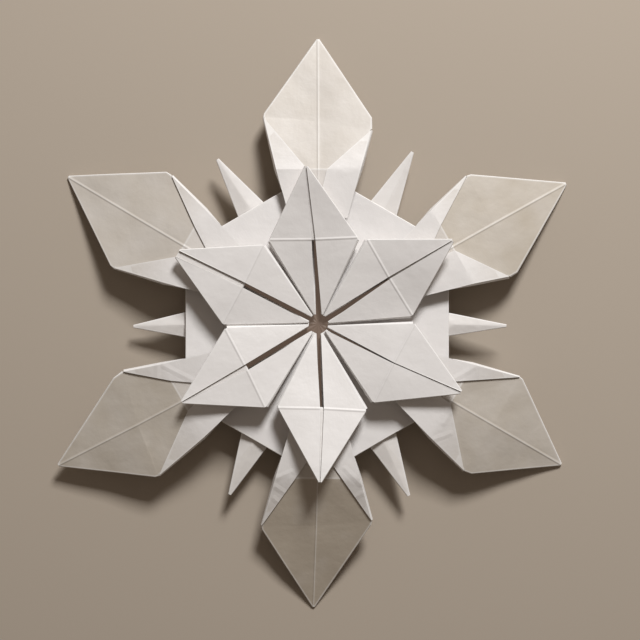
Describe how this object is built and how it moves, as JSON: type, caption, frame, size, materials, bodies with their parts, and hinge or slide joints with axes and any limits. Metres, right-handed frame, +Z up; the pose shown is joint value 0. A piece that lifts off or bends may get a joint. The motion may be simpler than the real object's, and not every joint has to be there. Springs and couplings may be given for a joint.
{
  "type": "origami snowflake",
  "caption": "Paper snowflake folded from a hexagonal sheet: pointed arms, thin spikes between them, and slit petals standing on the central plate.",
  "frame": {"origin": "middle of the folded sheet's outline, on the surface that the arms' tips rest on", "axes": "+Z up from the surface, out of the plate and petals; +Y along the first arm"},
  "size_m": [0.1082, 0.121, 0.0131],
  "materials": {
    "paper": "satin"
  },
  "bodies": {
    "root": {"snowflake": "paper"}
  },
  "joints": []
}
